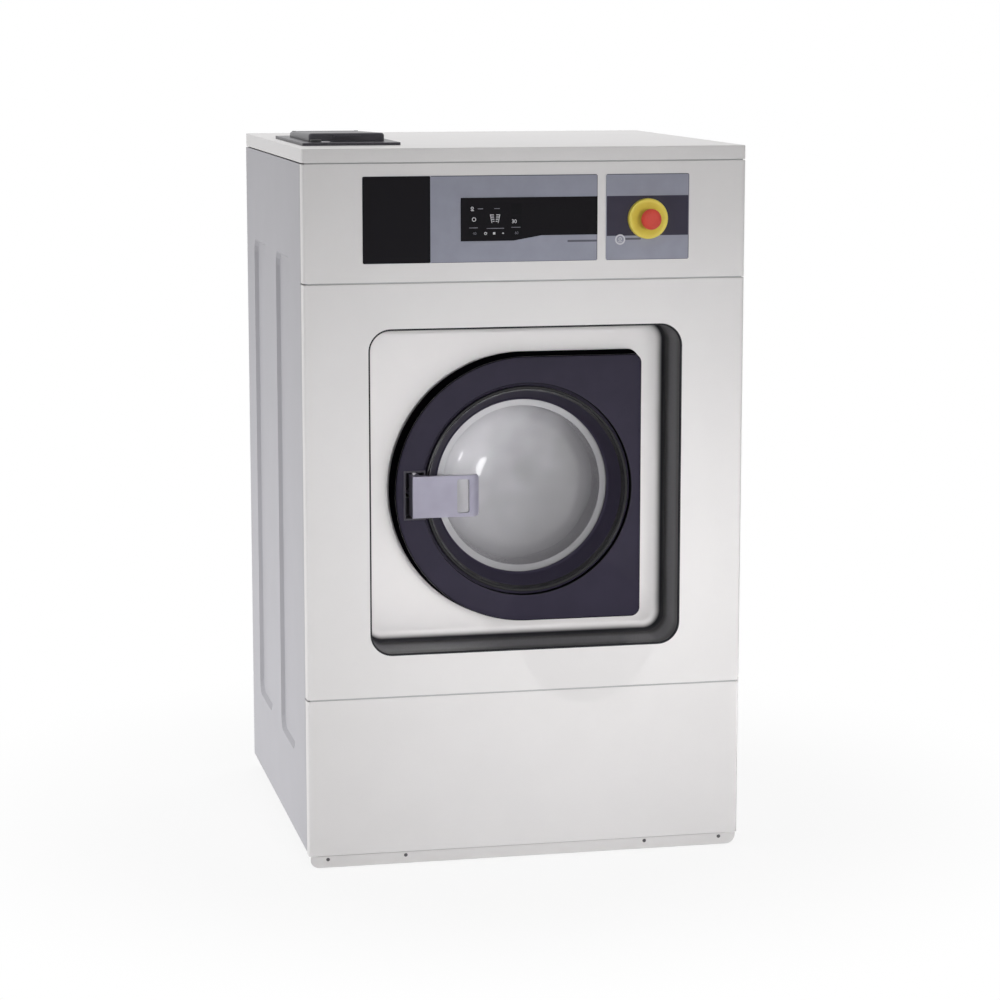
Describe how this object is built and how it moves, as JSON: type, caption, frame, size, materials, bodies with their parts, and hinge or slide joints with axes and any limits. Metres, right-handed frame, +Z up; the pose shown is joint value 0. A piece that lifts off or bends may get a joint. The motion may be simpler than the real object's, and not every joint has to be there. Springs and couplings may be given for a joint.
{
  "type": "washer-extractor",
  "caption": "Floor-standing front-loading washer-extractor with a black D-shaped door with a glass bowl, a pull handle, an emergency stop, a control panel and a soap dispenser on top.",
  "frame": {"origin": "on the floor, under the middle of the machine's box", "axes": "+Z up, +X to the right and +Y to the back as seen from the front, where the door is"},
  "size_m": [0.692, 0.7368, 1.1325],
  "materials": {
    "panel_steel": "satin pale grey sheet",
    "side_steel": "fine-grained mid grey coating",
    "frame_steel": "grey coating on welded steel",
    "stainless": "brushed stainless steel",
    "black_plastic": "dark violet-black moulded plastic, half gloss",
    "dark_plastic": "near black moulded plastic",
    "handle_grey": "lilac grey moulded plastic",
    "overlay_grey": "printed grey polyester foil",
    "signal_yellow": "signal yellow moulded plastic",
    "signal_red": "signal red moulded plastic",
    "rubber": "black moulded rubber",
    "clear_glass": "clear pressed glass",
    "cast_metal": "as-cast aluminium",
    "grey_plastic": "grey moulded plastic",
    "brass": "turned brass"
  },
  "bodies": {
    "cabinet": {"base_frame": "frame_steel", "bearing_front": "stainless", "bearing_housing": "cast_metal", "bearing_rear": "stainless", "cable_gland": "dark_plastic", "control_module": "grey_plastic", "control_overlay_left": "overlay_grey", "control_overlay_right": "overlay_grey", "display_lens": "dark_plastic", "door_gasket": "rubber", "door_lock": "dark_plastic", "drain_pipe": "grey_plastic", "drain_valve": "grey_plastic", "drive_belt": "rubber", "electrical_box": "grey_plastic", "estop_block": "grey_plastic", "estop_collar": "signal_yellow", "fascia_panel": "panel_steel", "fill_hose": "rubber", "front_panel": "panel_steel", "hinge_bracket": "stainless", "hinge_pin": "stainless", "inlet_valve": "brass", "kick_panel": "panel_steel", "motor_body": "cast_metal", "motor_plate": "frame_steel", "rear_panel": "side_steel", "shaft_seal": "rubber", "side_frame_left": "frame_steel", "side_frame_right": "frame_steel", "side_panel_left": "side_steel", "side_panel_right": "side_steel", "soap_hopper": "black_plastic", "soap_lock": "dark_plastic", "top_cover": "panel_steel", "tub_back": "stainless", "tub_cradle_front": "frame_steel", "tub_cradle_rear": "frame_steel", "tub_front": "stainless", "tub_shell": "stainless"},
    "door": {"door_cover": "black_plastic", "door_bezel": "black_plastic", "door_frame": "cast_metal", "door_glass": "clear_glass", "glass_gasket": "rubber", "handle_housing": "black_plastic", "handle_pin": "stainless"},
    "handle": {"door_handle": "handle_grey"},
    "lock_slide": {"lock_bolt": "stainless"},
    "stop_plunger": {"estop_plunger": "dark_plastic"},
    "stop_head": {"estop_head": "signal_red"},
    "lid": {"soap_lid": "black_plastic"},
    "drum": {"drum_front": "stainless", "drum_shell": "stainless", "drum_back": "stainless", "drum_spider": "cast_metal", "drum_shaft": "stainless", "drum_pulley": "cast_metal"},
    "rotor": {"motor_rotor": "cast_metal"},
    "drain_flap": {"drain_disc": "stainless"}
  },
  "joints": [
    {"name": "door_hinge", "type": "hinge", "parent": "cabinet", "child": "door", "pos_m": [0.1805, -0.26655, 0.57995], "axis": [0, 0, 1], "range_deg": [0, 110]},
    {"name": "handle_pull", "type": "hinge", "parent": "door", "child": "handle", "pos_m": [-0.167, -0.27855, 0.57645], "axis": [0, 0, -1], "range_deg": [0, 12], "stiffness_Nm_per_rad": 0.5},
    {"name": "lock_bolt_slide", "type": "slide", "parent": "cabinet", "child": "lock_slide", "axis": [0, 0, 1], "range_m": [0, 0.0115]},
    {"name": "estop_push", "type": "slide", "parent": "cabinet", "child": "stop_plunger", "axis": [0, 1, 0], "range_m": [0, 0.005], "stiffness_N_per_m": 400},
    {"name": "estop_twist", "type": "hinge", "parent": "stop_plunger", "child": "stop_head", "pos_m": [0.1888, -0.36845, 1.0044], "axis": [0, 1, 0], "range_deg": [0, 45], "stiffness_Nm_per_rad": 0.05},
    {"name": "soap_lid_hinge", "type": "hinge", "parent": "cabinet", "child": "lid", "pos_m": [-0.2515, 0.04625, 1.1238], "axis": [-1, 0, 0], "range_deg": [0, 100]},
    {"name": "drum_spin", "type": "hinge", "parent": "cabinet", "child": "drum", "pos_m": [0.012, 0.13295, 0.57995], "axis": [0, 1, 0], "continuous": true},
    {"name": "motor_spin", "type": "hinge", "parent": "cabinet", "child": "rotor", "pos_m": [0.15, 0.25485, 0.15], "axis": [0, 1, 0], "continuous": true},
    {"name": "drain_disc_turn", "type": "hinge", "parent": "cabinet", "child": "drain_flap", "pos_m": [0.012, -0.04655, 0.1823], "axis": [1, 0, 0], "range_deg": [0, 90]}
  ],
  "couplings": [
    {"joint": "motor_spin", "follows": "drum_spin", "ratio": 5}
  ]
}
